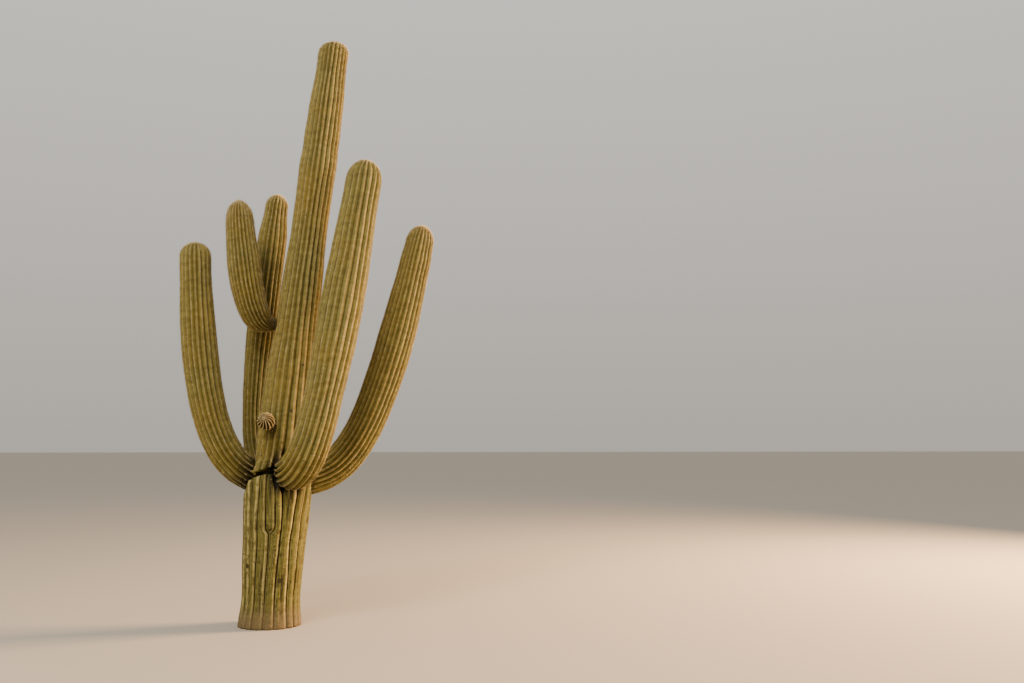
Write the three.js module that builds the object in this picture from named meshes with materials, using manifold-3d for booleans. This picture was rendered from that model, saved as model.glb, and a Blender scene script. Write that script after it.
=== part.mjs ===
// A saguaro cactus: one ribbed stem, a low collar that four arms grow from, a fifth arm higher up
// on the left, and a young arm that is still a ball. Millimetres, +Z up. The origin is the middle
// of the flat cut at ground level. The view along +Y, with +X to the right, shows every arm.

import * as THREE from 'three';
import { mergeVertices } from 'three/addons/utils/BufferGeometryUtils.js';
import Module from 'manifold-3d';

const wasm = await Module();
wasm.setup();

// The gap that is left between two neighbouring pieces
const CLEARANCE = 0.3;

// The stem: its height, and how far its axis has leaned to +X on the way up
const HEIGHT = 5500;
const LEAN_AT_A_THIRD = 34;
const LEAN_AT_TWO_THIRDS = 293;
const LEAN_AT_TIP = 478;

// The collar is a crease round the stem, higher at the front than at the back. The base swells
// below it, the column flares above it, and higher up the column runs evenly to its tip.
const COLLAR_HEIGHT = 1275;
const COLLAR_RISE = 75;
const COLLAR_REACH = 420;
const SWELL_START = 1050;
const FLARE_START = 1325;
const COLUMN_START = 1790;

// The stem's girth, as [height, radius over the ribs]. The foot spreads a little at the ground,
// and a dry year has left a slight waist in the column.
const STEM_GIRTH = [
  [0, 284], [220, 262], [640, 280], [SWELL_START, 304], [1215, 318], [COLLAR_HEIGHT, 262],
  [FLARE_START, 288], [1480, 243], [COLUMN_START, 238], [3000, 190], [3700, 166], [4300, 175],
  [4800, 163], [5270, 143],
];
const STEM_RIBS = 22;
const STEM_RIB_DEPTH = 32;
const STEM_DOME = 115;

// Ring spacing: how many rings each stretch of a stem or arm is given
const RINGS_BELOW_COLLAR = 5;
const RINGS_IN_COLLAR = 5;
const RINGS_IN_FLARE = 3;
const RINGS_IN_COLUMN = 10;
const RINGS_IN_DOME = 4;
const RINGS_IN_ELBOW = 8;
const RINGS_IN_UPRIGHT = 7;

// Every limb's axis is walked in this many even steps, and a ring stands on one of them
const AXIS_STEPS = 200;

// How full a rounded tip is: 2 would be a true half circle
const DOME_FULLNESS = 2.4;

// A groove is never cut deeper than this share of the radius, so the ribs run out at the tip
const DEEPEST_GROOVE = 0.3;

// The arms. root: the height on the stem's axis that the arm grows from. behind: how far behind
// that axis it starts. heading: its compass angle there, from +X towards +Y. rise: its slope there.
// out, up: how far it keeps to its first and last direction, which sets the bend. lean: how far it
// tips to +X at the top, in degrees. girth: [share of its length, radius over the ribs]. dome: the
// height of its rounded tip, as a share of the radius below it. bend: the share where the elbow ends.
const ARMS = {
  left: {
    root: 1270, behind: 0, heading: 184, rise: 12, out: 460, up: 1980, tip: [-746, -70, 3454],
    lean: -2.2, girth: [[0.05, 148], [0.28, 153], [0.6, 160], [0.93, 138]], dome: 1.0, bend: 0.38,
    ribs: 20, depth: 26,
  },
  right: {
    root: 1291, behind: 0, heading: 8, rise: 1, out: 560, up: 2450, tip: [1378, 120, 3760],
    lean: 11.3, girth: [[0.05, 158], [0.28, 168], [0.6, 178], [0.88, 150], [0.93, 138]], dome: 1.5,
    bend: 0.36, ribs: 22, depth: 28,
  },
  front: {
    root: 1422, behind: 0, heading: -77, rise: -13, out: 1080, up: 2370, tip: [788, -270, 4272],
    lean: 8.8, girth: [[0.05, 105], [0.12, 174], [0.28, 168], [0.6, 197], [0.93, 168]], dome: 1.35,
    bend: 0.3, ribs: 19, depth: 28,
  },
  back: {
    root: 1311, behind: 0, heading: 118, rise: 6, out: 690, up: 2155, tip: [-18, 300, 4032],
    lean: 6, girth: [[0.05, 120], [0.28, 115], [0.6, 138], [0.86, 138], [0.95, 106]], dome: 1.2,
    bend: 0.34, ribs: 18, depth: 24,
  },
  upper_left: {
    root: 2800, behind: 60, heading: 173, rise: -15, out: 355, up: 1300, tip: [-368, -240, 3826],
    lean: -4.8, girth: [[0, 30], [0.1, 60], [0.22, 130], [0.36, 140], [0.6, 148], [0.93, 122]],
    dome: 1.7, bend: 0.45, ribs: 24, depth: 24,
  },
};

// The young arm: a ball on a short neck at the front of the stem, reach away from the stem's axis.
// start is the share of that reach where its body begins, inside the stem.
const YOUNG_ARM = {
  root: 1775, heading: -120, rise: 10, reach: 412, radius: 88, neck: 52, start: 0.3,
  ribs: 14, depth: 14, rings: 7,
};

// Colours of the skin, by where it grows
const SKIN = { column: 0x7d7a45, elbow: 0x6f7640, upright: 0x8a8450, young: 0x8d8a5e };
const SKIN_ROUGHNESS = 0.8;

const UP = new THREE.Vector3(0, 0, 1);
const FULL_TURN = 2 * Math.PI;

// Runs smoothly from one [place, size] pair to the next, and stays level outside them
function sizeAt(place, stations) {
  let size = stations[0][1];
  for (let i = 1; i < stations.length; i++) {
    const [start, from] = stations[i - 1];
    const [end, to] = stations[i];
    if (place > start) size = from + (to - from) * THREE.MathUtils.smoothstep(place, start, end);
  }
  return size;
}

// Evenly spaced numbers: the first is start, and end itself is left to the next stretch
function spread(start, end, count) {
  return Array.from({ length: count }, (_, i) => start + (end - start) * i / count);
}

// Shares of a dome's height, closer together towards its top
function domeShares() {
  return Array.from({ length: RINGS_IN_DOME }, (_, i) =>
    Math.sin((i + 0.75) / RINGS_IN_DOME * Math.PI / 2));
}

// How much narrower a dome is at a share of its height
function domeNarrowing(share) {
  return Math.sqrt(1 - Math.pow(share, DOME_FULLNESS));
}

// Where a point of a ribbed ring lies: even steps are crests, odd ones the grooves between them.
// A ring has its centre, its two directions across and beside, its radius, and, where it isn't
// flat, a tilt function that lifts its points by their angle.
function pointOnRing(ring, step, steps, depth) {
  const angle = step / steps * FULL_TURN;
  const groove = Math.min(depth, ring.radius * DEEPEST_GROOVE);
  const radius = step % 2 === 0 ? ring.radius : ring.radius - groove;
  return ring.centre.clone()
    .addScaledVector(ring.across, radius * Math.cos(angle))
    .addScaledVector(ring.beside, radius * Math.sin(angle))
    .addScaledVector(UP, ring.tilt ? ring.tilt(angle) : 0);
}

// A closed ribbed body through a list of rings, the lowest first. The middle of the top end is
// lifted to the tip where one is given.
function ribbedBody(rings, ribs, depth, tip) {
  const steps = 2 * ribs;
  const geometry = new THREE.CylinderGeometry(1, 1, rings.length - 1, steps, rings.length - 1);
  geometry.deleteAttribute('normal');
  geometry.deleteAttribute('uv');
  const position = geometry.attributes.position;
  for (let i = 0; i < position.count; i++) {
    const level = Math.round(position.getY(i) + (rings.length - 1) / 2);
    const ring = rings[level];
    const inMiddle = Math.hypot(position.getX(i), position.getZ(i)) < 0.5;
    const angle = Math.atan2(position.getX(i), position.getZ(i));
    const step = (Math.round(angle / FULL_TURN * steps) + steps) % steps;
    let point = pointOnRing(ring, step, steps, depth);
    if (inMiddle) point = tip && level > 0 ? tip : ring.centre;
    position.setXYZ(i, point.x, point.y, point.z);
  }
  return mergeVertices(geometry, 0.001);
}

// The stem's axis, whose height grows evenly along the curve
const stemAxis = new THREE.CubicBezierCurve3(
  new THREE.Vector3(0, 0, 0),
  new THREE.Vector3(LEAN_AT_A_THIRD, 0, HEIGHT / 3),
  new THREE.Vector3(LEAN_AT_TWO_THIRDS, 0, HEIGHT * 2 / 3),
  new THREE.Vector3(LEAN_AT_TIP, 0, HEIGHT),
);

function stemCentre(height) {
  return stemAxis.getPoint(height / HEIGHT);
}

// The stem's rings are level, except near the collar, where they rise towards the front
function stemRing(height, radius) {
  const nearCollar = 1 - THREE.MathUtils.smoothstep(Math.abs(height - COLLAR_HEIGHT), 0, COLLAR_REACH);
  return {
    centre: stemCentre(height),
    across: new THREE.Vector3(1, 0, 0),
    beside: new THREE.Vector3(0, 1, 0),
    radius,
    tilt: (angle) => -COLLAR_RISE * nearCollar * Math.sin(angle),
  };
}

// The stem's closed body, with its skin grown outwards all round
function stemBody(growth) {
  const shoulder = HEIGHT - STEM_DOME;
  const heights = [
    ...spread(0, SWELL_START, RINGS_BELOW_COLLAR),
    ...spread(SWELL_START, FLARE_START, RINGS_IN_COLLAR),
    ...spread(FLARE_START, COLUMN_START, RINGS_IN_FLARE),
    ...spread(COLUMN_START, shoulder, RINGS_IN_COLUMN),
    shoulder,
  ];
  const rings = heights.map((height) => stemRing(height, sizeAt(height, STEM_GIRTH) + growth));
  for (const share of domeShares()) {
    const height = shoulder + STEM_DOME * share;
    rings.push(stemRing(height, sizeAt(height, STEM_GIRTH) * domeNarrowing(share) + growth));
  }
  return ribbedBody(rings, STEM_RIBS, STEM_RIB_DEPTH, stemCentre(HEIGHT));
}

// A direction from its compass angle and its slope, both in degrees
function direction(heading, rise) {
  const h = THREE.MathUtils.degToRad(heading);
  const r = THREE.MathUtils.degToRad(rise);
  return new THREE.Vector3(Math.cos(h) * Math.cos(r), Math.sin(h) * Math.cos(r), Math.sin(r));
}

// An arm's axis runs out of the stem, round its elbow and up to its tip
function armAxis(arm) {
  const root = stemCentre(arm.root).add(new THREE.Vector3(0, arm.behind, 0));
  const tip = new THREE.Vector3(...arm.tip);
  const outwards = direction(arm.heading, arm.rise);
  const upwards = direction(0, 90 - arm.lean);
  return new THREE.CubicBezierCurve3(
    root,
    root.clone().addScaledVector(outwards, arm.out),
    tip.clone().addScaledVector(upwards, -arm.up),
    tip,
  );
}

// Walks a limb's axis and gives the ring at any share of its length
function ringMaker(axis, radiusAt) {
  const frames = axis.computeFrenetFrames(AXIS_STEPS);
  return (share) => {
    const step = Math.round(share * AXIS_STEPS);
    return {
      centre: axis.getPointAt(step / AXIS_STEPS),
      along: frames.tangents[step],
      across: frames.normals[step],
      beside: frames.binormals[step],
      radius: radiusAt(step / AXIS_STEPS),
    };
  };
}

// The two halves of an arm: the elbow starts inside the stem, and the upright ends in the tip
function armHalves(arm) {
  const axis = armAxis(arm);
  const domeShare = arm.dome * arm.girth.at(-1)[1] / axis.getLength();
  const shoulder = 1 - domeShare;
  const radiusAt = (share) => {
    const inDome = Math.max(0, (share - shoulder) / domeShare);
    return sizeAt(share, arm.girth) * domeNarrowing(Math.min(inDome, 1));
  };
  const ringAt = ringMaker(axis, radiusAt);
  const elbow = [...spread(0, arm.bend, RINGS_IN_ELBOW), arm.bend].map(ringAt);
  const upright = [...spread(arm.bend, shoulder, RINGS_IN_UPRIGHT), shoulder].map(ringAt);
  for (const share of domeShares()) upright.push(ringAt(shoulder + domeShare * share));
  upright[0].centre.addScaledVector(upright[0].along, CLEARANCE);
  return {
    elbow: ribbedBody(elbow, arm.ribs, arm.depth),
    upright: ribbedBody(upright, arm.ribs, arm.depth, axis.getPointAt(1)),
  };
}

// The young arm swells from its neck at the stem's skin to a ball
function youngArmBody(young) {
  const root = stemCentre(young.root);
  const tip = root.clone().addScaledVector(direction(young.heading, young.rise), young.reach);
  const axis = new THREE.LineCurve3(root, tip);
  const middle = 1 - young.radius / young.reach;
  const radiusAt = (share) => {
    const offMiddle = (share - middle) / (1 - middle);
    const ball = young.radius * Math.sqrt(Math.max(0, 1 - offMiddle * offMiddle));
    return share < middle ? Math.max(ball, young.neck) : ball;
  };
  const ringAt = ringMaker(axis, radiusAt);
  const rings = [ringAt(young.start)];
  for (let i = 1; i <= young.rings; i++) {
    const latitude = Math.PI * i / (young.rings + 1);
    rings.push(ringAt(middle - (1 - middle) * Math.cos(latitude)));
  }
  return ribbedBody(rings, young.ribs, young.depth, tip);
}

// Cutting: a closed body becomes a solid, and a solid becomes a geometry again
function toSolid(geometry) {
  return new wasm.Manifold(new wasm.Mesh({
    numProp: 3,
    vertProperties: new Float32Array(geometry.attributes.position.array),
    triVerts: new Uint32Array(geometry.index.array),
  }));
}

function toGeometry(solid) {
  const mesh = solid.getMesh();
  const geometry = new THREE.BufferGeometry();
  geometry.setAttribute('position', new THREE.BufferAttribute(mesh.vertProperties, 3));
  geometry.setIndex(new THREE.BufferAttribute(mesh.triVerts, 1));
  return geometry;
}

// The cactus
const cactus = new THREE.Group();

function addPiece(name, geometry, colour) {
  const material = new THREE.MeshStandardMaterial({ color: colour, roughness: SKIN_ROUGHNESS, metalness: 0 });
  const mesh = new THREE.Mesh(geometry, material);
  mesh.name = name;
  cactus.add(mesh);
}

addPiece('trunk', stemBody(0), SKIN.column);

// The ribs' flanks are steep, so the stem is grown by twice the gap to keep the gap beside them
const stemWithGap = toSolid(stemBody(CLEARANCE * 2));
for (const [side, arm] of Object.entries(ARMS)) {
  const { elbow, upright } = armHalves(arm);
  addPiece(`arm_${side}_elbow`, toGeometry(toSolid(elbow).subtract(stemWithGap)), SKIN.elbow);
  addPiece(`arm_${side}_upright`, upright, SKIN.upright);
}
addPiece('young_arm', toGeometry(toSolid(youngArmBody(YOUNG_ARM)).subtract(stemWithGap)), SKIN.young);

export default cactus;
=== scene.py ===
# %% [markdown]
# # A saguaro cactus
# A saguaro is a column of water-filled flesh under a waxy skin. The skin is pleated into ribs, so
# that it can swell after rain, and along the top of each rib sits a row of small felt cushions,
# the areoles, that the spines grow from. This lesson dresses a plain solid model of one plant:
# every limb gets a finely ribbed skin, and every areole its felt and its spines.
#
# The solid model is loaded first. Everything below is in metres and in its frame: +Z is up, and
# the origin is the middle of the flat cut under the stem, at ground level.

# %% Load the solid model
import math

import bmesh
import bpy
import numpy as np
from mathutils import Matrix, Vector
from mathutils.bvhtree import BVHTree


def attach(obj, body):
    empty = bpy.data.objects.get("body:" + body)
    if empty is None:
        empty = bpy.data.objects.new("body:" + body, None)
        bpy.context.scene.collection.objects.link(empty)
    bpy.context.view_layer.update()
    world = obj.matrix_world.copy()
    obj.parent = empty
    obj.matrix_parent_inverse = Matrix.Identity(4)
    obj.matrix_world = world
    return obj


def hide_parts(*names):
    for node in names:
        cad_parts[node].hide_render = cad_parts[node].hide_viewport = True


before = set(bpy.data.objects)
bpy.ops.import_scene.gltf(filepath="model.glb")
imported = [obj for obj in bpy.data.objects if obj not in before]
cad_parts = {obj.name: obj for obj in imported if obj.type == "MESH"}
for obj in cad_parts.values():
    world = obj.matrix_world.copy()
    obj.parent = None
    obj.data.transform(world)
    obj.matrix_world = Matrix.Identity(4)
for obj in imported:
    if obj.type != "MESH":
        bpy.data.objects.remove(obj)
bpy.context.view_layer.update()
print("solids:", ", ".join(sorted(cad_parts)))

MM = 0.001
FULL_TURN = 2 * math.pi
chance = np.random.default_rng(14)

# %% [markdown]
# ## Camera
# The camera stands at a person's eye height, nine and a half metres in front of the stem, and
# looks a little upwards and to the right, which puts the plant left of the middle.

# %% Camera
CAMERA_PLACE = (0, -9.468, 1.6)
CAMERA_TURN = 13.375
CAMERA_TILT = 6.041
CAMERA_LENS = 35
SENSOR_WIDTH = 36

bpy.ops.object.select_all(action="DESELECT")
bpy.ops.object.camera_add(
    location=CAMERA_PLACE,
    rotation=(math.radians(90 + CAMERA_TILT), 0, math.radians(-CAMERA_TURN)),
)
camera = bpy.context.object
camera.name = "camera"
camera.data.lens = CAMERA_LENS
camera.data.sensor_width = SENSOR_WIDTH
bpy.context.scene.camera = camera
print("camera at", CAMERA_PLACE)

# %% [markdown]
# ## Colours and nodes
# Colours are written as the hex values that a paint program shows. Blender's shaders work in
# linear light, so one function turns the first into the second. A second small function adds a
# shader node of any kind with its settings, its fixed values and the links that feed it. Sockets
# are given by name, or by number where a node has several of the same name, as Mix has.

# %% Helpers for materials
UNDER, OVER = 6, 7  # the two colour sockets of a Mix node


def linear(hex_colour):
    """The linear RGBA of an sRGB hex colour such as "#8a7a45"."""
    channels = [int(hex_colour[i:i + 2], 16) / 255 for i in (1, 3, 5)]
    return [c / 12.92 if c <= 0.04045 else ((c + 0.055) / 1.055) ** 2.4 for c in channels] + [1]


def add_node(tree, kind, inputs=None, stops=None, **settings):
    """Adds one node with its settings. An input is a fixed value or the output that feeds it.

    stops are a colour ramp's (place, hex colour) pairs. The node's first live output is returned.
    """
    node = tree.nodes.new(kind)
    for name, setting in settings.items():
        setattr(node, name, setting)
    for socket, value in (inputs or {}).items():
        if isinstance(value, bpy.types.NodeSocket):
            tree.links.new(value, node.inputs[socket])
        else:
            node.inputs[socket].default_value = value
    if stops:
        elements = node.color_ramp.elements
        elements.remove(elements[1])
        elements[0].position, elements[0].color = stops[0][0], linear(stops[0][1])
        for place, colour in stops[1:]:
            elements.new(place).color = linear(colour)
    return next((output for output in node.outputs if output.enabled), None)


def new_material(name):
    """An empty node material and its tree."""
    material = bpy.data.materials.new(name)
    material.use_nodes = True
    material.node_tree.nodes.clear()
    return material, material.node_tree


print("linear value of a mid olive:", [round(value, 3) for value in linear("#8a7a45")])

# %% [markdown]
# ## Studio
# A plain pale floor catches the shadow. One large warm light stands low on the right and a little
# behind, as the desert's evening sun does, so that every rib is edged with light on its right side
# and the faces towards the camera stay in an even half shade. The world fills that shade. It is
# a little darker at the horizon, where it meets the floor, than overhead.

# %% Floor and lights
FLOOR_SIDE, FLOOR_COLOUR = 600, "#a89f93"
KEY_PLACE, KEY_SIDE, KEY_POWER, KEY_COLOUR = (13.2, 0.9, 5.6), 4.6, 8000, "#ffcf98"
FILL_PLACE, FILL_SIDE, FILL_POWER, FILL_COLOUR = (-4.5, -8.5, 10.5), 5.0, 1500, "#fff3e0"
HORIZON_COLOUR, OVERHEAD_COLOUR, OVERHEAD_FROM, WORLD_STRENGTH = "#bfb9af", "#f6f2ea", 0.6, 1.0
LIT_POINT = Vector((0.3, 0, 2.6))

bpy.ops.object.select_all(action="DESELECT")
bpy.ops.mesh.primitive_plane_add(size=FLOOR_SIDE)
floor = bpy.context.object
floor.name = "floor"
# Matt paint on a smooth floor scatters light evenly: it shows shadows and no reflections.
floor_material, tree = new_material("Matt pale floor paint")
shader = add_node(tree, "ShaderNodeBsdfPrincipled", {
    "Base Color": linear(FLOOR_COLOUR), "Roughness": 0.9, "Specular IOR Level": 0.2})
add_node(tree, "ShaderNodeOutputMaterial", {"Surface": shader})
floor.data.materials.append(floor_material)


def add_area_light(name, place, side, power, colour):
    """A square soft light that faces the plant."""
    aim = (LIT_POINT - Vector(place)).to_track_quat("-Z", "Y").to_euler()
    bpy.ops.object.light_add(type="AREA", location=place, rotation=aim)
    light = bpy.context.object
    light.name = name
    light.data.size = side
    light.data.energy = power
    light.data.color = linear(colour)[:3]
    return light


add_area_light("key_light", KEY_PLACE, KEY_SIDE, KEY_POWER, KEY_COLOUR)
add_area_light("fill_light", FILL_PLACE, FILL_SIDE, FILL_POWER, FILL_COLOUR)

world = bpy.data.worlds.new("pale studio")
bpy.context.scene.world = world
world.use_nodes = True
tree = world.node_tree
tree.nodes.clear()
slope = add_node(tree, "ShaderNodeSeparateXYZ", {0: add_node(tree, "ShaderNodeTexCoord")})
sky = add_node(tree, "ShaderNodeValToRGB", {0: slope.node.outputs["Z"]},
               stops=[(0, HORIZON_COLOUR), (OVERHEAD_FROM, OVERHEAD_COLOUR)])
background = add_node(tree, "ShaderNodeBackground", {"Color": sky, "Strength": WORLD_STRENGTH})
add_node(tree, "ShaderNodeOutputWorld", {"Surface": background})

# %% [markdown]
# ## How a ribbed limb is made
# Every limb is the same kind of body: a tube whose section is a ring of ribs, carried along a
# curved axis. The ribs are round on top and meet in sharp folds. Such a section could be drawn as
# a curve and swept, but the ribs have to change on the way up, so a control cage is used instead:
#
# 1. a cylinder is added with three upright lines to each rib: one for the fold and one for each
#    shoulder of the rib;
# 2. its upright edges are subdivided, which gives it its rings;
# 3. each ring is moved to its place on the limb's axis;
# 4. the fold lines are creased, and a Subdivision Surface rounds everything between them.

# %% The cage: a cylinder with three lines to each rib
LINES_PER_RIB = 3


def ribbed_cage(name, ribs, rings):
    """A closed cylinder with the lines of its ribs, cut into the given number of rings."""
    bpy.ops.object.select_all(action="DESELECT")
    bpy.ops.mesh.primitive_cylinder_add(
        vertices=LINES_PER_RIB * ribs, radius=1, depth=1, end_fill_type="TRIFAN")
    cage = bpy.context.object
    cage.name = cage.data.name = name
    bpy.ops.object.mode_set(mode="EDIT")
    bpy.ops.mesh.select_mode(type="EDGE")
    bpy.ops.mesh.select_all(action="DESELECT")
    edit = bmesh.from_edit_mesh(cage.data)
    for edge in edit.edges:
        edge.select_set(abs(edge.verts[0].co.z - edge.verts[1].co.z) > 0.5)
    bmesh.update_edit_mesh(cage.data)
    bpy.ops.mesh.subdivide(number_cuts=rings - 2)
    bpy.ops.object.mode_set(mode="OBJECT")
    return cage


def numbers(items, name, width=1, kind=float):
    """One property of every vertex, edge or corner of a mesh, as an array."""
    values = np.empty(len(items) * width, dtype=kind)
    items.foreach_get(name, values)
    return values.reshape(-1, width) if width > 1 else values


print("a cage has", LINES_PER_RIB, "upright lines for each rib")

# %% Bend the cage, crease its folds and round it
SKIN_LEVELS = 2


def pick(item):
    """Selects one object and nothing else, for an operator to act on."""
    bpy.ops.object.select_all(action="DESELECT")
    item.select_set(True)
    bpy.context.view_layer.objects.active = item


def finish_limb(cage, ribs, places, phases, lengths, tip, flat_foot=False):
    """Moves the cage's rings to their places and turns the cage into a smooth ribbed skin.

    places[ring, line] is where each point of the cage goes. phases[ring, line] counts ribs round
    the limb, and lengths[ring] is the distance along it: together they become the UV map.
    """
    mesh = cage.data
    lines = LINES_PER_RIB * ribs
    corners = numbers(mesh.vertices, "co", 3)
    ring = np.rint((corners[:, 2] + 0.5) * (len(places) - 1)).astype(int)
    line = np.rint(np.arctan2(-corners[:, 0], corners[:, 1]) / FULL_TURN * lines).astype(int) % lines
    middle = np.hypot(corners[:, 0], corners[:, 1]) < 0.5
    moved = places[ring, line]
    moved[middle & (ring == 0)] = places[0].mean(0)
    moved[middle & (ring > 0)] = tip
    mesh.vertices.foreach_set("co", moved.ravel())

    ends = numbers(mesh.edges, "vertices", 2, np.int32)
    same_line = (line[ends[:, 0]] == line[ends[:, 1]]) & ~middle[ends].any(1)
    creased = same_line & (line[ends[:, 0]] % LINES_PER_RIB == 0)
    if flat_foot:
        creased |= (ring[ends] == 0).all(1) & ~middle[ends].any(1)
    mesh.attributes.new("crease_edge", "FLOAT", "EDGE").data.foreach_set(
        "value", creased.astype(np.float32))

    loop_corner = numbers(mesh.loops, "vertex_index", 1, np.int32)
    uv = np.stack([phases[ring, line][loop_corner], lengths[ring][loop_corner]], 1)
    for face in mesh.polygons:
        loops = np.arange(face.loop_start, face.loop_start + face.loop_total)
        face_lines = line[loop_corner[loops]]
        if np.ptp(face_lines) > lines / 2:
            uv[loops[face_lines < lines / 2], 0] += ribs
    mesh.uv_layers[0].name = "ribs"
    mesh.uv_layers[0].data.foreach_set("uv", uv.ravel())
    mesh.update()

    pick(cage)
    rounded = cage.modifiers.new("Rounded", "SUBSURF")
    rounded.levels = rounded.render_levels = SKIN_LEVELS
    rounded.uv_smooth = "NONE"
    bpy.ops.object.modifier_apply(modifier=rounded.name)
    bpy.ops.object.shade_smooth()
    print(cage.name, "has", len(mesh.polygons), "faces")


print("each face of a cage becomes", 4 ** SKIN_LEVELS, "faces of skin")

# %% Sizes that run along a limb
def size_at(place, stations):
    """Runs smoothly from one (place, size) pair to the next, and stays level outside them."""
    place = np.asarray(place, dtype=float)
    size = np.full(place.shape, float(stations[0][1]))
    for (start, from_size), (end, to_size) in zip(stations, stations[1:]):
        share = np.clip((place - start) / (end - start), 0, 1)
        size = np.where(place > start,
                        from_size + (to_size - from_size) * share ** 2 * (3 - 2 * share), size)
    return size


def unit(vectors):
    """The same directions with a length of 1."""
    return vectors / np.linalg.norm(vectors, axis=-1, keepdims=True)


def bezier(points, shares):
    """Points on a cubic Bezier curve."""
    a, b, c, d = (np.asarray(point, dtype=float) for point in points)
    t = np.asarray(shares, dtype=float)[:, None]
    return (1 - t) ** 3 * a + 3 * (1 - t) ** 2 * t * b + 3 * (1 - t) * t * t * c + t ** 3 * d


DOME_FULLNESS = 2.4  # 2 would be a half circle
DOME_RINGS = 7
DOME_SHARES = np.sin((np.arange(DOME_RINGS) + 0.75) / DOME_RINGS * math.pi / 2)


def dome_narrowing(shares):
    """How much narrower a rounded tip is at each share of its height."""
    return np.sqrt(1 - np.clip(shares, 0, 1) ** DOME_FULLNESS)


DEEPEST_FOLD = 0.3  # the largest share of the radius that a fold takes
FOLD_DRIFT = 0.09  # in ribs
DRIFT_WAVES = [(1.7, 0.6), (0.62, 0.4)]  # length in m, share of the drift


def wandering_folds(ribs):
    """No fold runs quite straight: a function for how far each has wandered, counted in ribs."""
    starts = chance.uniform(0, FULL_TURN, (len(DRIFT_WAVES), ribs))

    def wander(lengths):
        lengths = np.asarray(lengths, dtype=float)[:, None]
        return FOLD_DRIFT * sum(share * np.sin(FULL_TURN * lengths / wave + start)
                                for (wave, share), start in zip(DRIFT_WAVES, starts))

    return wander


print("dome narrows to", round(float(dome_narrowing(DOME_SHARES)[-1]), 3), "at its last ring")

# %% [markdown]
# ## The main stem
# The stem leans to the right on its way up. Its base is swollen, with broad flat ribs and narrow
# folds, and ends in a tilted crease, the collar, that the low arms grow out of. Above the collar
# the column flares and then runs up with narrower, rounder ribs, pinched a little where each dry
# season stopped its growth. The sizes are the same as in the solid model, with more rings where
# the collar folds sharply.

# %% Sizes of the stem
HEIGHT = 5500 * MM
STEM_AXIS = [(0, 0, 0), (34 * MM, 0, HEIGHT / 3), (293 * MM, 0, HEIGHT * 2 / 3), (478 * MM, 0, HEIGHT)]
STEM_RIBS = 22
STEM_DOME = 115 * MM
COLLAR_HEIGHT, COLLAR_REACH = 1275 * MM, 420 * MM
COLLAR_STEP, COLLAR_RISE, COLLAR_FRONT = 40 * MM, 95 * MM, math.radians(-75)
STEM_GIRTH = [(height * MM, radius * MM) for height, radius in [
    (0, 284), (220, 262), (640, 280), (1050, 304), (1205, 319), (1250, 311), (1268, 272), (1290, 288),
    (1325, 289), (1480, 243), (1790, 238), (3000, 190), (3700, 166), (4300, 175), (4800, 163),
    (5270, 143)]]
STEM_STRETCHES = [  # from and to in m, rings
    (0, 0.22, 3), (0.22, 0.81, 7), (0.81, 0.89, 5), (0.89, 1.20, 5), (1.20, 1.24, 2),
    (1.24, 1.304, 9), (1.304, 1.35, 2), (1.35, 1.79, 6), (1.79, HEIGHT - STEM_DOME, 34)]
STEM_FOLD_DEPTH = [(0, 22 * MM), (0.3, 30 * MM), (1.2, 36 * MM), (1.4, 42 * MM), (1.9, 22 * MM)]
RIB_FLATNESS = [(0.9, 0.36), (1.25, 0.34), (1.5, 0.13), (3.0, 0.10)]  # height, half width in ribs
PINCHES = [  # height in m, share of the radius
    (2.66, 0.02), (3.22, 0.03), (3.86, 0.035), (4.08, 0.055), (4.43, 0.055), (4.71, 0.05),
    (5.03, 0.06)]
PINCH_REACH = 30 * MM
SLIT = [(1.249, 0), (1.257, 1), (1.287, 1), (1.295, 0)]  # height, how open the collar's slit is
SLIT_DEPTH, SLIT_HEADING = 110 * MM, math.radians(-90)
SLIT_SPREAD = (math.radians(100), math.radians(130))
SLIT_ELSEWHERE = 0.3  # how open it is round the back
BASE_FIRST_FOLD, COLUMN_FIRST_FOLD = math.radians(-79), math.radians(-84)


def stem_centre(heights):
    """The stem's axis at the given heights."""
    return bezier(STEM_AXIS, np.asarray(heights) / HEIGHT)


def stem_radius(heights):
    """The stem's radius over its ribs."""
    radius = size_at(heights, STEM_GIRTH)
    for place, depth in PINCHES:
        radius = radius * (1 - depth * np.exp(-((heights - place) / PINCH_REACH) ** 2))
    in_dome = (heights - (HEIGHT - STEM_DOME)) / STEM_DOME
    return radius * dome_narrowing(in_dome)


def stem_lift(heights, angles):
    """Near the collar the stem's rings rise towards the front."""
    near = 1 - size_at(np.abs(np.asarray(heights) - COLLAR_HEIGHT), [(0, 0), (COLLAR_REACH, 1)])
    return near * (COLLAR_STEP + COLLAR_RISE * np.cos(angles - COLLAR_FRONT))


print("stem radius at the ground, collar and tip:",
      np.round(stem_radius(np.array([0, 1.2, 5.3])), 3))

# %% [markdown]
# The base's ribs are broad and flat, with narrow clefts between them, and no two are alike: those
# in front lean as the base widens, one starts only halfway up, where the clefts beside it run
# together, and one cleft tears open into a V below the collar. So the clefts that show in front
# are placed one by one, as stations of height and angle, and the rest follow a rule.

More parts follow.
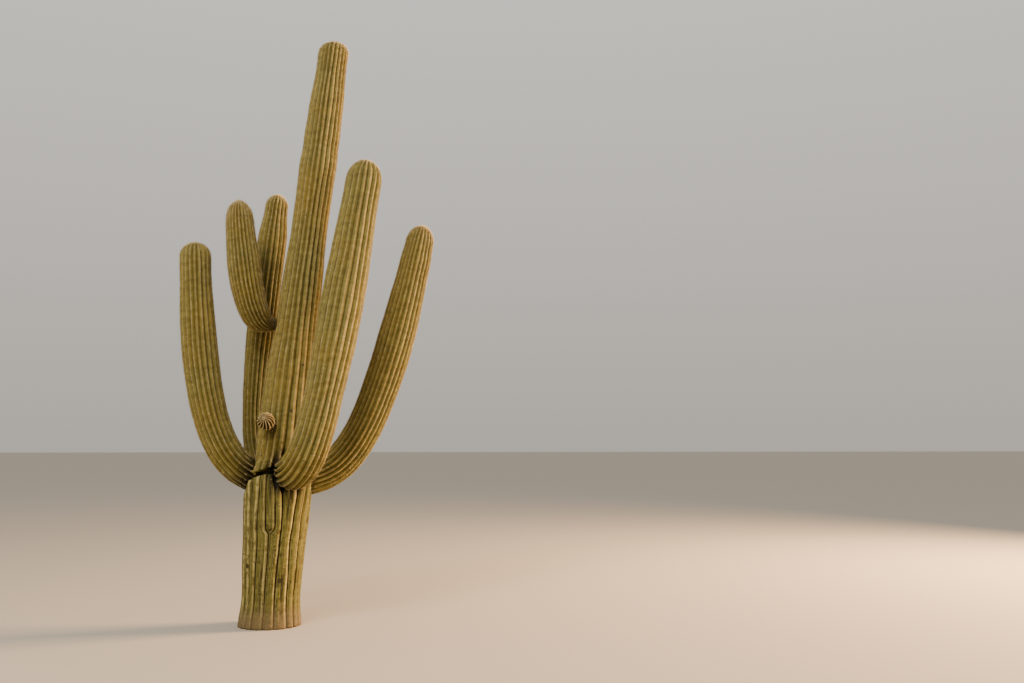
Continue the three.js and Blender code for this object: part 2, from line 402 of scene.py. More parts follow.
# %% The stem's cage, ring by ring
BASE_FOLDS = {  # cleft: [(height, degrees round the stem), ...]
    17: [(0.41, -160), (1.16, -161)],
    18: [(0.41, -141), (0.77, -145), (1.16, -147)],
    19: [(0.41, -126), (0.77, -125), (0.93, -127), (1.16, -124)],
    20: [(0.41, -103), (0.59, -101), (0.825, -102), (0.88, -109), (1.16, -112)],
    21: [(0.825, -100), (0.88, -91), (1.16, -95)],
    0: [(0.41, -83), (0.77, -80), (0.93, -80), (1.16, -82)],
    1: [(0.41, -57), (0.77, -60), (0.93, -57), (1.16, -52)],
    2: [(0.41, -40), (0.77, -38), (0.93, -40), (1.16, -33)],
    3: [(0.41, -24), (0.77, -19), (1.16, -16)],
    4: [(0.41, -6), (1.16, -1)],
    5: [(0.41, 9), (1.16, 13)],
}
FOLDS_CHANGE = [(1.262, 0), (1.28, 1)]
TORN_FOLD = 0
TEAR = [(0.97, 0), (1.12, 0.6), (1.24, 1)]  # height, how far it is torn open
TEAR_DEPTH, TEAR_WIDTHS = 85 * MM, (0.12, 0.06)
LATE_RIB = STEM_RIBS - 2
LATE_RIB_FOOT = [(0.825, 1), (0.88, 0)]

heights = np.concatenate([np.linspace(start, end, count, endpoint=False)
                          for start, end, count in STEM_STRETCHES]
                         + [[HEIGHT - STEM_DOME], HEIGHT - STEM_DOME + STEM_DOME * DOME_SHARES])
RIB_SPAN = FULL_TURN / STEM_RIBS
stem_wander = wandering_folds(STEM_RIBS)


def fold_angles(height):
    """The angle of every fold of the stem. The base's and the column's change over in the collar."""
    regular = RIB_SPAN * (np.arange(STEM_RIBS) + stem_wander([height])[0])
    column, base = COLUMN_FIRST_FOLD + regular, BASE_FIRST_FOLD + regular
    for k, stations in BASE_FOLDS.items():
        base[k] = math.radians(float(size_at(height, stations))) + (k > STEM_RIBS / 2) * FULL_TURN
    angles = base + (column - base) * float(size_at(height, FOLDS_CHANGE))
    return np.append(angles, angles[0] + FULL_TURN)


def stem_ring(height):
    """The angles, radii and rib phases of one ring of the stem's cage."""
    radius = float(stem_radius(np.array([height]))[0])
    tear = float(size_at(height, TEAR)) * (height < COLLAR_HEIGHT)
    merged = float(size_at(height, LATE_RIB_FOOT))
    fold_angle = fold_angles(height)
    fold_depth = np.full(STEM_RIBS, min(float(size_at(height, STEM_FOLD_DEPTH)), radius * DEEPEST_FOLD))
    fold_depth[TORN_FOLD] += TEAR_DEPTH * tear
    flat = float(size_at(height, RIB_FLATNESS))
    shoulder = np.array([np.full(STEM_RIBS, 0.5 - flat), np.full(STEM_RIBS, 0.5 + flat)])
    shoulder[1, TORN_FOLD - 1] -= TEAR_WIDTHS[0] * tear
    shoulder[0, TORN_FOLD] += TEAR_WIDTHS[1] * tear
    sunk = np.zeros(STEM_RIBS)
    sunk[LATE_RIB] = fold_depth[LATE_RIB] * merged
    span = np.diff(fold_angle)
    angles = np.stack([fold_angle[:-1]] + [fold_angle[:-1] + span * s for s in shoulder], 1).ravel()
    radii = np.stack([radius - fold_depth, radius - sunk, radius - sunk], 1).ravel()
    off_slit = np.abs((angles - SLIT_HEADING + math.pi) % FULL_TURN - math.pi)
    slit = size_at(off_slit, [(SLIT_SPREAD[0], 1), (SLIT_SPREAD[1], SLIT_ELSEWHERE)])
    radii -= slit * SLIT_DEPTH * float(size_at(height, SLIT))
    phases = (np.arange(STEM_RIBS) + np.stack([np.zeros(STEM_RIBS), *shoulder])).T.ravel()
    return angles, radii, phases


ring_parts = [stem_ring(height) for height in heights]
angles, radii, phases = (np.array([part[i] for part in ring_parts]) for i in range(3))
centres = stem_centre(heights)[:, None, :]
places = centres + np.stack([radii * np.cos(angles), radii * np.sin(angles),
                             stem_lift(heights[:, None], angles)], 2)
print("the stem's cage has", places.shape[0], "rings of", places.shape[1], "points")

# %% Round the stem's cage
stem_skin = ribbed_cage("stem_skin", STEM_RIBS, len(heights))
finish_limb(stem_skin, STEM_RIBS, places, phases, heights, stem_centre([HEIGHT])[0], flat_foot=True)

# %% [markdown]
# ## The arms
# Each arm leaves the collar sideways, rounds an elbow and turns up. Its axis is one Bezier curve
# from the stem's own axis to the arm's tip. To keep the ribs from twisting on the way, the ring's
# directions are carried along the curve and only straightened, never turned. The left, right and
# upper left arms start a little behind the stem's axis, so that the stem's skin, and the lips of
# its collar, pass in front of their necks.

# %% Sizes of the arms
ARMS = {  # mm and degrees; girth: a share of the length and the radius there; dome: height in radii
    "left": dict(root=1270, behind=95, heading=184, rise=12, out=460, up=1980, tip=(-746, -70, 3454),
                 lean=-2.2, girth=[(0.05, 148), (0.28, 153), (0.6, 160), (0.93, 138)], dome=1.0,
                 ribs=20, depth=21),
    "right": dict(root=1291, behind=75, heading=8, rise=1, out=560, up=2450, tip=(1378, 120, 3760),
                  lean=11.3, girth=[(0.05, 158), (0.28, 168), (0.6, 178), (0.88, 150), (0.93, 138)],
                  dome=1.5, ribs=22, depth=18),
    "front": dict(root=1422, behind=0, heading=-77, rise=-13, out=1080, up=2370, tip=(788, -270, 4272),
                  lean=8.8, girth=[(0.05, 105), (0.12, 174), (0.28, 168), (0.6, 197), (0.93, 168)],
                  dome=1.35, ribs=19, depth=20),
    "back": dict(root=1311, behind=0, heading=118, rise=6, out=690, up=2155, tip=(-18, 300, 4032), lean=6,
                 girth=[(0.05, 120), (0.28, 115), (0.6, 138), (0.86, 138), (0.95, 106)], dome=1.2,
                 ribs=18, depth=22),
    "upper_left": dict(root=2800, behind=95, heading=174, rise=-15, out=355, up=1300, tip=(-368, -240, 3826),
                       lean=-4.8, girth=[(0.14, 56), (0.30, 132), (0.38, 140), (0.6, 148), (0.93, 122)],
                       dome=1.7, ribs=24, depth=20),
}
ARM_FLATNESS = 0.10
NECK_FOLDS = [(0.3, 1.5), (1.0, 1.0)]  # the folds are deeper near the stem: length, times the depth
ARM_START = 150 * MM
ELBOW_END = 1.1  # m along the arm
ELBOW_RING_GAP, UPRIGHT_RING_GAP = 50 * MM, 75 * MM
AXIS_STEPS = 1200
FINE_STEPS = 4 * AXIS_STEPS


def direction(heading, rise):
    """A unit direction from its compass angle and its slope, in degrees."""
    heading, rise = math.radians(heading), math.radians(rise)
    return np.array([math.cos(heading) * math.cos(rise), math.sin(heading) * math.cos(rise),
                     math.sin(rise)])


def walk_axis(points):
    """Even steps along a Bezier axis, each with its length so far and its ring's directions."""
    fine = bezier(points, np.linspace(0, 1, FINE_STEPS))
    run = np.concatenate([[0], np.cumsum(np.linalg.norm(np.diff(fine, axis=0), axis=1))])
    length = np.linspace(0, run[-1], AXIS_STEPS + 1)
    centre = np.stack([np.interp(length, run, fine[:, i]) for i in range(3)], 1)
    along = unit(np.gradient(centre, axis=0))
    across = np.empty_like(along)
    side = np.array([0, 0, 1.0])
    for step, tangent in enumerate(along):
        side = unit(side - tangent * (side @ tangent))
        across[step] = side
    return dict(length=length, centre=centre, along=along, across=across,
                beside=np.cross(along, across))


def limb_axis(arm):
    """The arm's axis, from the stem's axis to the arm's tip."""
    root = stem_centre([arm["root"] * MM])[0] + np.array([0, arm["behind"] * MM, 0])
    tip = np.array(arm["tip"]) * MM
    return walk_axis([root, root + direction(arm["heading"], arm["rise"]) * arm["out"] * MM,
                      tip - direction(0, 90 - arm["lean"]) * arm["up"] * MM, tip])


left_axis = limb_axis(ARMS["left"])
print("the left arm is", round(float(left_axis["length"][-1]), 2), "m long")

# %% Build the arms
PINCHES_PER_ARM, FIRST_PINCH, PINCH_GAPS = 12, 0.5, (260 * MM, 520 * MM)
ARM_PINCH = 0.016


def arm_radius(arm, axis, pinches):
    """The arm's radius over its ribs at every step of its axis."""
    total = axis["length"][-1]
    share = axis["length"] / total
    dome = arm["dome"] * arm["girth"][-1][1] * MM / total
    radius = size_at(share, arm["girth"]) * MM * dome_narrowing((share - (1 - dome)) / dome)
    for place in pinches:
        radius = radius * (1 - ARM_PINCH * np.exp(-((axis["length"] - place) / PINCH_REACH) ** 2))
    return radius, total * (1 - dome), total * dome


def arm_rings(axis, shoulder, dome):
    """Which steps of the axis carry a ring: close at the elbow, wider above, close in the dome."""
    elbow_end = min(ELBOW_END, shoulder / 2)
    stops = np.concatenate([
        np.linspace(start, end, round((end - start) / gap), endpoint=False)
        for start, end, gap in [(ARM_START, elbow_end, ELBOW_RING_GAP),
                                (elbow_end, shoulder, UPRIGHT_RING_GAP)]]
        + [[shoulder], shoulder + dome * DOME_SHARES])
    return np.rint(stops / axis["length"][-1] * AXIS_STEPS).astype(int)


def ring_lines(ribs, flat, wander=0.0):
    """The phases of a ring's lines, counted in ribs, and their angles once the folds have wandered."""
    fold = np.arange(ribs) + wander
    following = np.concatenate([fold[..., 1:], fold[..., :1] + ribs], -1)
    shares = np.array([0, 0.5 - flat, 0.5 + flat])
    lines = fold[..., None] + (following - fold)[..., None] * shares
    phase = (np.arange(ribs)[:, None] + shares).ravel()
    return phase, lines.reshape(*fold.shape[:-1], -1) / ribs * FULL_TURN


def limb_places(axis, steps, radius, depth, angles):
    """Where a limb's cage points go, from the limb's axis, its radius and its folds' depth."""
    rings = radius[steps][:, None]
    folds = np.minimum(np.reshape(depth, (-1, 1)), rings * DEEPEST_FOLD)
    is_fold = (np.arange(angles.shape[-1]) % LINES_PER_RIB == 0)[None, :]
    reach = (rings - folds * is_fold)[..., None]
    return (axis["centre"][steps][:, None, :]
            + reach * (axis["across"][steps][:, None, :] * np.cos(angles)[..., None]
                       + axis["beside"][steps][:, None, :] * np.sin(angles)[..., None]))


limbs = {}
for side, arm in ARMS.items():
    axis = limb_axis(arm)
    pinches = np.cumsum(chance.uniform(*PINCH_GAPS, PINCHES_PER_ARM)) + FIRST_PINCH
    radius, shoulder, dome = arm_radius(arm, axis, pinches)
    steps = arm_rings(axis, shoulder, dome)
    wander = wandering_folds(arm["ribs"])
    phase, angle = ring_lines(arm["ribs"], ARM_FLATNESS, wander(axis["length"][steps]))
    depths = arm["depth"] * MM * size_at(axis["length"][steps], NECK_FOLDS)
    places = limb_places(axis, steps, radius, depths, angle)
    skin = ribbed_cage(f"arm_{side}_skin", arm["ribs"], len(steps))
    finish_limb(skin, arm["ribs"], places, np.tile(phase, (len(steps), 1)), axis["length"][steps],
                axis["centre"][-1])
    limbs[side] = dict(skin=skin, axis=axis, radius=radius, ribs=arm["ribs"], wander=wander)
    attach(skin, "root")
    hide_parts(f"arm_{side}_elbow", f"arm_{side}_upright")

# %% [markdown]
# ## The young arm
# On the front of the stem sits an arm that has only begun to grow: a ball on a short neck, whose
# ribs swirl out of its growing point. The neck's axis comes out of the stem and bends towards that
# point, and each ring of the ball is turned a little further than the last, which gives the swirl.

# %% Build the young arm
YOUNG_CENTRE = np.array([-76, -280, 1826]) * MM
YOUNG_RADIUS, YOUNG_NECK = 81 * MM, 48 * MM
YOUNG_ROOT, YOUNG_HEADING = 1775 * MM, direction(-120, 0)
NECK_START, NECK_OUT, NECK_IN = 160 * MM, 50 * MM, 30 * MM
YOUNG_POINT = direction(-106, 20)
YOUNG_RIBS, YOUNG_FOLD, YOUNG_FLATNESS = 14, 24 * MM, 0.17
YOUNG_SWIRL = math.radians(65)
NECK_RINGS, BALL_RINGS, BALL_TOP = 4, 11, math.pi * 0.97

neck_latitude = math.asin(YOUNG_NECK / YOUNG_RADIUS)
latitudes = np.linspace(neck_latitude, BALL_TOP, BALL_RINGS)
ball_foot = YOUNG_CENTRE - YOUNG_POINT * YOUNG_RADIUS * math.cos(neck_latitude)
neck_start = stem_centre([YOUNG_ROOT])[0] + YOUNG_HEADING * NECK_START
neck = bezier([neck_start, neck_start + YOUNG_HEADING * NECK_OUT, ball_foot - YOUNG_POINT * NECK_IN,
               ball_foot], np.linspace(0, 1, NECK_RINGS + 1))[:-1]
ball = YOUNG_CENTRE - YOUNG_POINT * (YOUNG_RADIUS * np.cos(latitudes))[:, None]
young_centres = np.concatenate([neck, ball])
young_radii = np.concatenate([np.full(NECK_RINGS, YOUNG_NECK), YOUNG_RADIUS * np.sin(latitudes)])
young_along = np.gradient(young_centres, axis=0)
young_along[NECK_RINGS:] = YOUNG_POINT
young_along = unit(young_along)
young_across = unit(np.cross(young_along, (0, 0, 1.0)))
young_axis = dict(centre=young_centres, along=young_along, across=young_across,
                  beside=np.cross(young_along, young_across))
young_turns = YOUNG_SWIRL * np.linspace(0, 1, len(young_radii))
young_phase, young_angles = ring_lines(YOUNG_RIBS, YOUNG_FLATNESS)
places = np.concatenate([
    limb_places(young_axis, np.array([i]), young_radii, YOUNG_FOLD, young_angles + turn)
    for i, turn in enumerate(young_turns)])
young_lengths = np.concatenate([[0], np.cumsum(np.linalg.norm(np.diff(young_centres, axis=0), axis=1))])
young_skin = ribbed_cage("young_arm_skin", YOUNG_RIBS, len(places))
finish_limb(young_skin, YOUNG_RIBS, places, np.tile(young_phase, (len(places), 1)), young_lengths,
            YOUNG_CENTRE + YOUNG_POINT * YOUNG_RADIUS)
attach(stem_skin, "root")
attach(young_skin, "root")
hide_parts("trunk")
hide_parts("young_arm")

# %% [markdown]
# ## Unevenness and scars
# No rib is perfectly straight. A Displace modifier with a cloud texture, which is computed and not
# an image, gives every limb slow dents and swellings a few millimetres deep.

# %% Slow unevenness
UNEVEN_DEPTH, UNEVEN_SCALE = 9 * MM, 0.28
FOOT_STILL = 60 * MM  # the flat cut and what is just above it stay as they are

clouds = bpy.data.textures.new("slow_clouds", "CLOUDS")
clouds.noise_scale = UNEVEN_SCALE
clouds.noise_depth = 3
skins = [stem_skin, young_skin] + [limb["skin"] for limb in limbs.values()]
for skin in skins:
    pick(skin)
    uneven = skin.modifiers.new("Uneven", "DISPLACE")
    uneven.texture = clouds
    uneven.texture_coords = "LOCAL"
    uneven.mid_level = 0.5
    uneven.strength = UNEVEN_DEPTH
    if skin is stem_skin:
        free = skin.vertex_groups.new(name="above_ground")
        rise = numbers(skin.data.vertices, "co", 3)[:, 2]
        free.add(np.flatnonzero(rise > FOOT_STILL).tolist(), 1.0, "REPLACE")
        uneven.vertex_group = free.name
    bpy.ops.object.modifier_apply(modifier=uneven.name)
print("made", len(skins), "skins uneven")

# %% [markdown]
# ## Where an arm leaves the stem
# The stem's skin is drawn in round the root of every arm, so a dark furrow runs round it. A boolean
# cut would leave a hard edge, so the points of the stem's skin are moved instead: the nearer a
# point is to an arm's skin, the further it is pushed in. How near each point of an arm is to the
# stem, and each point of the stem to the front arm, is kept as an attribute, and the material
# darkens the skin there: painted shade in the crotches where the limbs meet.

# %% Furrows round the arms' roots
FURROWS = {"left": (90, 55), "right": (75, 40), "front": (85, 42), "back": (60, 30),
           "upper_left": (50, 30), "young": (34, 26)}  # reach and depth in mm
FURROW_SHARPNESS = 1.5


def shell_of(skin):
    """A tree of a skin's faces, to find near points and to meet rays."""
    return BVHTree.FromPolygons([tuple(point) for point in numbers(skin.data.vertices, "co", 3)],
                                [tuple(face.vertices) for face in skin.data.polygons])


def press_furrow(skin, limb, reach, depth):
    """Draws a skin in near another limb's skin. Returns how many points moved."""
    shell, mesh = shell_of(limb), skin.data
    low, high = (np.array(f(numbers(limb.data.vertices, "co", 3), axis=0)) for f in (np.min, np.max))
    points = numbers(mesh.vertices, "co", 3)
    inwards = -numbers(mesh.vertices, "normal", 3)
    moved = 0
    for index in np.flatnonzero(((points > low - reach) & (points < high + reach)).all(1)):
        nearest, normal, _, distance = shell.find_nearest(Vector(points[index]), reach)
        if nearest is None:
            continue
        outside = (Vector(points[index]) - nearest).dot(normal) > 0
        nearness = 1 - distance / reach if outside else 1
        points[index] += inwards[index] * depth * nearness ** FURROW_SHARPNESS
        moved += 1
    mesh.vertices.foreach_set("co", points.ravel())
    mesh.update()
    return moved


for side, (reach, depth) in FURROWS.items():
    limb_skin = limbs[side]["skin"] if side in limbs else young_skin
    print("drew in", press_furrow(stem_skin, limb_skin, reach * MM, depth * MM), "points round", side)

# %% Painted shade where the limbs meet
# How far the painted shade reaches from the stem over each arm, and over the stem below the front arm
PAINTED_SHADE_REACHES = {"left": 130, "right": 40, "front": 155, "back": 90, "upper_left": 28}  # mm
STEM_PAINTED_SHADE_REACH = 80  # mm
OPEN_GAP = 9.0  # stands for a neighbour that is too far off to matter


def keep_attribute(skin, name, values):
    """Keeps a value for every point of a skin, for its material to read. The larger one stays."""
    attributes = skin.data.attributes
    kept = attributes[name] if name in attributes else attributes.new(name, "FLOAT", "POINT")
    values = np.maximum(numbers(kept.data, "value"), values)
    kept.data.foreach_set("value", values.astype(np.float32))


# This closeness becomes painted shade where the limbs meet: 1 is the darkest.
def painted_shade_near(skin, neighbour, reach):
    """How close every point of a skin is to a neighbour: 1 where they touch, 0 well beyond."""
    shell = shell_of(neighbour)
    points = numbers(skin.data.vertices, "co", 3)
    found = [shell.find_nearest(Vector(point), 3 * reach) for point in points]
    gaps = np.array([OPEN_GAP if hit[0] is None else hit[3] for hit in found])
    return np.exp(-(gaps / reach) ** 2)


for side, reach in PAINTED_SHADE_REACHES.items():
    skin = limbs[side]["skin"]
    keep_attribute(skin, "painted_shade", painted_shade_near(skin, stem_skin, reach * MM))
shade_under_front_arm = painted_shade_near(stem_skin, limbs["front"]["skin"], STEM_PAINTED_SHADE_REACH * MM)
keep_attribute(stem_skin, "painted_shade", shade_under_front_arm)
print("the front arm shelters", int((shade_under_front_arm > 0.5).sum()), "points of the stem")

# %% [markdown]
# ## Cracks and scars
# The old skin of the base has cracked lengthwise between its clefts, and wounds have left corky
# pits. Each is pressed in: a crack has a place counted in ribs and the heights it runs between, and
# a pit has a height, an angle, a size and a depth. How far a point lies inside one is kept as an
# attribute, so that the material can darken it.

# %% Cracks in the base
CRACKS_TOP = 1.25
CRACKS = [  # place in ribs, from and to in m, width and depth in mm
    (18.30, 0.79, CRACKS_TOP, 17, 20), (20.47, 1.06, 1.24, 15, 14), (0.42, 0.93, CRACKS_TOP, 17, 20),
    (19.60, 0.10, 0.57, 15, 15), (17.55, 0.12, 0.50, 14, 12), (0.52, 0.08, 0.50, 14, 13),
    (1.60, 0.90, CRACKS_TOP, 13, 10), (19.45, 1.10, CRACKS_TOP, 14, 10), (2.45, 0.30, 0.62, 14, 11),
]
CRACK_FADE, CRACK_WAVE, CRACK_WAVE_LENGTH = 60 * MM, 4 * MM, 0.31
SPARE_SHARE, SPARE_FROM, SPARE_LENGTH = 0.6, (0.05, 0.75), (0.2, 0.55)
SPARE_PLACE, SPARE_WIDTH, SPARE_DEPTH = (0.35, 0.65), 14, 12

shown_ribs = {int(crack[0]) for crack in CRACKS} | {LATE_RIB, STEM_RIBS - 1}
for rib in range(STEM_RIBS):
    if rib not in shown_ribs and chance.random() < SPARE_SHARE:
        start = chance.uniform(*SPARE_FROM)
        CRACKS.append((rib + chance.uniform(*SPARE_PLACE), start,
                       min(start + chance.uniform(*SPARE_LENGTH), CRACKS_TOP), SPARE_WIDTH, SPARE_DEPTH))


def rib_place(mesh):
    """The place in ribs and the length of every point of a skin, read back from its UV map."""
    place = np.empty((len(mesh.vertices), 2))
    place[numbers(mesh.loops, "vertex_index", 1, np.int32)] = numbers(
        mesh.uv_layers["ribs"].data, "uv", 2)
    return place[:, 0], place[:, 1]


def press_in(skin, inside, depth, attribute):
    """Pushes a skin in by a depth where inside is 1, and keeps inside as an attribute."""
    mesh = skin.data
    points = numbers(mesh.vertices, "co", 3)
    points -= numbers(mesh.vertices, "normal", 3) * (inside * depth)[:, None]
    mesh.vertices.foreach_set("co", points.ravel())
    keep_attribute(skin, attribute, inside)
    mesh.update()


def open_between(lengths, start, end):
    """1 between two lengths and 0 beyond them, with soft ends."""
    begun, ended = (size_at(lengths, [(place - CRACK_FADE, 0), (place + CRACK_FADE, 1)])
                    for place in (start, end))
    return begun * (1 - ended)


ribs, lengths = rib_place(stem_skin.data)
for place, start, end, width, depth in CRACKS:
    off = (ribs - place + STEM_RIBS / 2) % STEM_RIBS - STEM_RIBS / 2
    across = (off * RIB_SPAN * stem_radius(lengths)
              + CRACK_WAVE * np.sin(FULL_TURN * lengths / CRACK_WAVE_LENGTH + place))
    inside = np.exp(-(across / (width * MM / 2)) ** 2) * open_between(lengths, start, end)
    press_in(stem_skin, inside, depth * MM, "crack")
print("pressed", len(CRACKS), "cracks into the base")

# %% Scars
STEM_MARKS = [  # height in m, degrees round the stem, size and depth in mm
    (1.923, -80.8, 17, 8), (1.626, -93.0, 17, 8), (1.572, -129, 12, 6), (1.482, -140, 12, 6),
    (0.856, -99, 18, 24), (0.866, -94, 13, 18), (1.560, -99, 20, 4), (1.515, -94, 15, 4),
    (2.350, -62, 15, 6), (3.310, -118, 16, 7), (0.545, -146, 22, 7), (0.420, -75, 26, 8),
    (2.050, 62, 24, 9), (3.050, 118, 20, 8), (0.700, 95, 28, 9), (1.010, 30, 22, 8),
]
KNOT_PLACE = np.array([-227, -353, 3069]) * MM
KNOT_SIZE, KNOT_DEPTH, KNOT_SPREAD = 26, 12, 16
MARK_SINK = 6 * MM


def press_mark(skin, centre, size, depth, spread=0.0):
    """Presses a round mark in. A knot also pushes the ribs round it aside."""
    mesh = skin.data
    points = numbers(mesh.vertices, "co", 3)
    normals = numbers(mesh.vertices, "normal", 3)
    away = points - centre
    distance = np.linalg.norm(away, axis=1)
    if spread:
        push = away / (distance[:, None] + 1e-6)
        push -= normals * (push * normals).sum(1)[:, None]
        points += push * (np.exp(-(distance / (3 * size * MM)) ** 2) * spread * MM)[:, None]
        mesh.vertices.foreach_set("co", points.ravel())
    press_in(skin, np.exp(-(distance / (size * MM)) ** 2), depth * MM, "scar")


for height, degrees, size, depth in STEM_MARKS:
    reach = float(stem_radius(np.array([height]))[0]) - MARK_SINK
    mark = stem_centre([height])[0] + reach * direction(degrees, 0)
    mark[2] += float(stem_lift([height], math.radians(degrees))[0])
    press_mark(stem_skin, mark, size, depth)
press_mark(limbs["upper_left"]["skin"], KNOT_PLACE, KNOT_SIZE, KNOT_DEPTH, KNOT_SPREAD)
print("pressed", len(STEM_MARKS) + 1, "marks")

# %% [markdown]
# ## The skin's material
# A saguaro's skin is living tissue under a layer of wax: a dull olive green, bleached to straw
# along the top of each rib by the sun and the areoles' felt. Towards each fold the colour darkens,
# a painted shade. Growth leaves faint bands across the ribs. At the base the ribs are flat, with
# painted shade in their clefts and a painted highlight on the rims beside them, and near the
# ground the skin dies back to grey-brown cork. The material reads the UV map that the cage left on
# each limb: its first number counts the ribs, so its fraction says where a point lies between two
# folds, and its second number is the length along the limb in metres.

# %% Sizes of the skin's patterns
MOTTLE_SIZE, BLOTCH_SIZE = 55 * MM, 450 * MM
PORE_SIZE = 8 * MM  # real pores are too fine to show, so these are coarser
BAND_GAP, BAND_RIBS = 45 * MM, 3.0  # a growth band, and how many ribs it runs across
BASE_TOP = (1.26, 1.28)  # where the base's look fades into the column's
CREASES_PER_RIB, CREASE_LENGTH = 5.0, 0.30
SPECK_GAP, SPECK_SIZE, SPECK_CHOICE = 34 * MM, 0.24, 0.62
SPECKS_THIN_OUT = (1.3, 2.2)
CORK_HEIGHT, CORK_EDGE = 0.14, 0.30  # how high the cork reaches, and how ragged its edge is, in m
CORK_FADE = 6.0  # how sharp the edge is: it fades over a sixth of a metre
print("growth bands are", round(BAND_GAP / MM), "mm apart")


# %% What every part of the skin reads
def skin_patterns(tree):
    """Where a point lies on its rib and in space, and cloudy patterns of three sizes."""
    rib = add_node(tree, "ShaderNodeSeparateXYZ", {0: add_node(tree, "ShaderNodeUVMap", uv_map="ribs")})
    across = add_node(tree, "ShaderNodeMath", {0: rib}, operation="FRACT")
    place = add_node(tree, "ShaderNodeTexCoord").node.outputs["Object"]
    mottle, pores, blotches = (
        add_node(tree, "ShaderNodeTexNoise", {
            "Vector": place, "Scale": 1 / size, "Detail": detail, "Roughness": roughness})
        for size, detail, roughness in [
            (MOTTLE_SIZE, 5.0, 0.65), (PORE_SIZE, 2.0, 0.6), (BLOTCH_SIZE, 4.0, 0.65)])
    off_top = add_node(tree, "ShaderNodeMath", {0: across, 1: 0.5}, operation="SUBTRACT")
    off_top = add_node(tree, "ShaderNodeMath", {0: off_top}, operation="ABSOLUTE")
    wander = add_node(tree, "ShaderNodeMath", {0: mottle, 1: 0.06, 2: -0.03}, operation="MULTIPLY_ADD")
    off_top = add_node(tree, "ShaderNodeMath", {0: off_top, 1: wander}, operation="ADD")
    return dict(rib=rib, length=rib.node.outputs["Y"], across=across, off_top=off_top, place=place,
                height=add_node(tree, "ShaderNodeSeparateXYZ", {0: place}).node.outputs["Z"],
                mottle=mottle, pores=pores, blotches=blotches)


def along_ribs(tree, at, per_rib, per_metre):
    """A place for a pattern that follows the ribs: the rib number and the length, both scaled."""
    return add_node(tree, "ShaderNodeCombineXYZ", {
        0: add_node(tree, "ShaderNodeMath", {0: at["rib"], 1: per_rib}, operation="MULTIPLY"),
        1: add_node(tree, "ShaderNodeMath", {0: at["length"], 1: per_metre}, operation="MULTIPLY")})


# %% The colour of the ribs and the felt along their tops
TAN_COLOUR = "#94782c"


def rib_colour(tree, at, flank_to_fold_shade, tan_amount):
    """A ramp from a rib's top to its fold, darker there as painted shade, tanned in broad blotches by the
    sun.
    """
    colour = add_node(tree, "ShaderNodeValToRGB", {0: at["off_top"]}, stops=flank_to_fold_shade)
    tanned = add_node(tree, "ShaderNodeMapRange", {
        "Value": at["blotches"], "From Min": 0.42, "From Max": 0.70, "To Max": tan_amount})
    return add_node(tree, "ShaderNodeMix", {0: tanned, UNDER: colour, OVER: linear(TAN_COLOUR)},
                    data_type="RGBA")


def felt_line(tree, at, crest_width):
    """How much felt and bleached skin shows: a line along the top of a rib, thin here and there."""
    on_crest = add_node(tree, "ShaderNodeMapRange", {
        "Value": at["off_top"], "From Min": 0.35 * crest_width, "From Max": crest_width,
        "To Min": 1.0, "To Max": 0.0})
    rib_number = add_node(tree, "ShaderNodeMath", {0: at["rib"]}, operation="FLOOR")
    along = add_node(tree, "ShaderNodeCombineXYZ", {0: rib_number, 1: at["length"]})
    felted = add_node(tree, "ShaderNodeTexNoise", {"Vector": along, "Scale": 2.3, "Detail": 3.0})
    felted = add_node(tree, "ShaderNodeMapRange", {
        "Value": felted, "From Min": 0.35, "From Max": 0.6, "To Min": 0.5, "To Max": 1.0})
    return add_node(tree, "ShaderNodeMath", {0: on_crest, 1: felted}, operation="MULTIPLY")


# %% The skin of the base
def base_colour(tree, at, colour, base_ribs_with_painted_light):
    """Below the collar: broad ribs with painted shade in the clefts and a painted highlight on the rims,
    creased lengthwise. Also how much felt is left.
    """
    on_base = add_node(tree, "ShaderNodeMapRange", {
        "Value": at["length"], "From Min": BASE_TOP[0], "From Max": BASE_TOP[1],
        "To Min": 1.0, "To Max": 0.0})
    broad = add_node(tree, "ShaderNodeValToRGB", {0: at["across"]}, stops=base_ribs_with_painted_light)
    colour = add_node(tree, "ShaderNodeMix", {0: on_base, UNDER: colour, OVER: broad}, data_type="RGBA")
    creases = add_node(tree, "ShaderNodeTexNoise", {
        "Vector": along_ribs(tree, at, CREASES_PER_RIB, 1 / CREASE_LENGTH), "Scale": 1.0, "Detail": 3.0})
    creased = add_node(tree, "ShaderNodeValToRGB", {0: creases}, stops=[
        (0.45, "#ffffff"), (0.485, "#55502e"), (0.52, "#ffffff"), (0.60, "#ffffff"), (0.64, "#8a8358")])
    share = add_node(tree, "ShaderNodeMath", {0: on_base, 1: 0.75}, operation="MULTIPLY")
    colour = add_node(tree, "ShaderNodeMix", {0: share, UNDER: colour, OVER: creased},
                      data_type="RGBA", blend_type="MULTIPLY")
    felt_left = add_node(tree, "ShaderNodeMath", {0: on_base, 1: -0.7, 2: 1.0}, operation="MULTIPLY_ADD")
    return colour, felt_left


# %% Wounds and cork
WOUND_COLOUR = "#2e2312"


